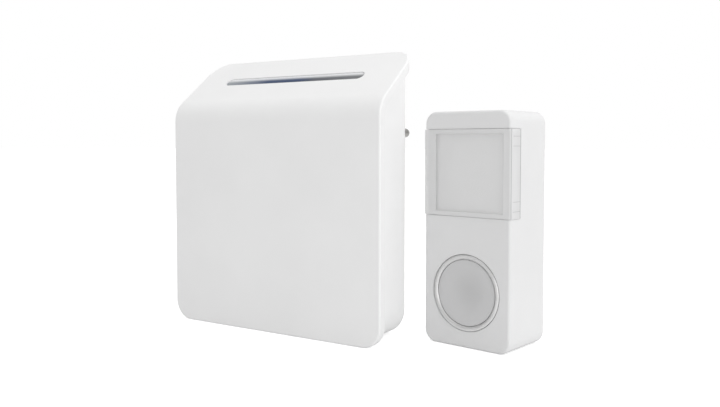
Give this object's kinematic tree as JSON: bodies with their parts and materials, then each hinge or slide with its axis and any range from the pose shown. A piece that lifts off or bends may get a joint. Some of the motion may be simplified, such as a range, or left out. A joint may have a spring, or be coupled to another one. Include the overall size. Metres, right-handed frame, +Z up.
{
  "type": "wireless doorbell",
  "caption": "Plug-in wireless door chime with a slanted light slot, and its battery bell push with a name window and a round ringed button, standing as a set.",
  "frame": {"origin": "bottom centre of the box round both units, on the surface that they stand on", "axes": "+X right and +Y back as seen from the chime's front, +Z up; the chime's flat front faces -Y"},
  "size_m": [0.133, 0.083, 0.0992],
  "materials": {
    "plate_plastic": "satin white ABS",
    "body_plastic": "fine matt white ABS",
    "plug_plastic": "white heat-resistant plastic",
    "guide_clear": "frosted clear acrylic",
    "push_plastic": "satin white ABS",
    "cover_clear": "clear polished plastic",
    "card_paper": "plain white card",
    "ring_metal": "bright plated ring",
    "button_plastic": "translucent grey plastic",
    "pin_metal": "nickel-plated brass",
    "sleeve_black": "black insulating sleeve",
    "screw_steel": "zinc-plated steel",
    "board_green": "green solder mask on glass laminate",
    "chip_black": "black moulded chip",
    "radio_can": "tinned screening can",
    "aerial_copper": "enamelled copper wire",
    "switch_black": "black moulded switch",
    "plunger_plastic": "natural nylon plunger",
    "lamp_plastic": "lamp moulding",
    "header_metal": "gold-flashed pin",
    "lead_insulation": "insulated lead",
    "core_iron": "laminated core",
    "winding_tape": "yellow winding tape",
    "can_aluminium": "sleeved aluminium can",
    "fuse_body": "ceramic fuse with metal caps",
    "speaker_steel": "pressed steel basket",
    "magnet_ferrite": "ferrite ring magnet",
    "cone_paper": "treated paper cone",
    "cell_steel": "nickel-plated steel cell",
    "contact_metal": "plated spring steel",
    "holder_black": "black holder"
  },
  "bodies": {
    "root": {"chime_front_plate": "plate_plastic", "chime_body": "body_plastic", "light_guide": "guide_clear", "lamp_board": "board_green", "flash_lamps": "lamp_plastic", "chime_rear_cover": "body_plastic", "rear_cover_screws": "screw_steel", "plug_base": "plug_plastic", "plug_pin_left": "pin_metal", "plug_pin_right": "pin_metal", "plug_pin_sleeves": "sleeve_black", "mains_leads": "lead_insulation", "mains_board": "board_green", "mains_board_screws": "screw_steel", "transformer_core": "core_iron", "transformer_winding": "winding_tape", "smoothing_capacitor": "can_aluminium", "mains_fuse": "fuse_body", "main_board": "board_green", "main_board_screws": "screw_steel", "supply_header": "header_metal", "sound_chip": "chip_black", "radio_module": "radio_can", "receiver_aerial": "aerial_copper", "speaker_frame": "speaker_steel", "speaker_magnet": "magnet_ferrite", "speaker_cone": "cone_paper", "melody_switch": "switch_black", "volume_switch": "switch_black", "push_wall_plate": "push_plastic"},
    "melody_key": {"melody_button": "body_plastic"},
    "melody_plunger": {"melody_switch_plunger": "plunger_plastic"},
    "volume_key": {"volume_button": "body_plastic"},
    "volume_plunger": {"volume_switch_plunger": "plunger_plastic"},
    "push_unit": {"push_housing": "push_plastic", "name_card": "card_paper", "button_ring": "ring_metal", "push_switch": "switch_black", "push_board": "board_green", "push_board_screws": "screw_steel", "transmitter_chip": "chip_black", "button_lamp": "lamp_plastic", "coin_cell": "cell_steel", "battery_contact": "contact_metal", "battery_holder": "holder_black", "battery_strap": "contact_metal"},
    "cover": {"name_cover": "cover_clear"},
    "bell_key": {"push_button": "button_plastic"},
    "bell_plunger": {"push_switch_plunger": "plunger_plastic"}
  },
  "joints": [
    {"name": "melody_press", "type": "slide", "parent": "root", "child": "melody_key", "axis": [1, 0, 0], "range_m": [0, 0.0006], "stiffness_N_per_m": 2000},
    {"name": "melody_plunger_slide", "type": "slide", "parent": "root", "child": "melody_plunger", "axis": [1, 0, 0], "range_m": [0, 0.0003]},
    {"name": "volume_press", "type": "slide", "parent": "root", "child": "volume_key", "axis": [1, 0, 0], "range_m": [0, 0.0006], "stiffness_N_per_m": 2000},
    {"name": "volume_plunger_slide", "type": "slide", "parent": "root", "child": "volume_plunger", "axis": [1, 0, 0], "range_m": [0, 0.0003]},
    {"name": "push_unit_release", "type": "slide", "parent": "root", "child": "push_unit", "axis": [-0.1426, -0.9898, 0], "range_m": [0, 0.015]},
    {"name": "name_cover_release", "type": "slide", "parent": "push_unit", "child": "cover", "axis": [-0.1426, -0.9898, 0], "range_m": [0, 0.008]},
    {"name": "bell_press", "type": "slide", "parent": "push_unit", "child": "bell_key", "axis": [0.1426, 0.9898, 0], "range_m": [0, 0.0006], "stiffness_N_per_m": 2000},
    {"name": "bell_plunger_slide", "type": "slide", "parent": "push_unit", "child": "bell_plunger", "axis": [0.1426, 0.9898, 0], "range_m": [0, 0.0003]}
  ],
  "couplings": [
    {"joint": "melody_plunger_slide", "follows": "melody_press", "ratio": 0.5},
    {"joint": "volume_plunger_slide", "follows": "volume_press", "ratio": 0.5},
    {"joint": "bell_plunger_slide", "follows": "bell_press", "ratio": 0.5}
  ]
}
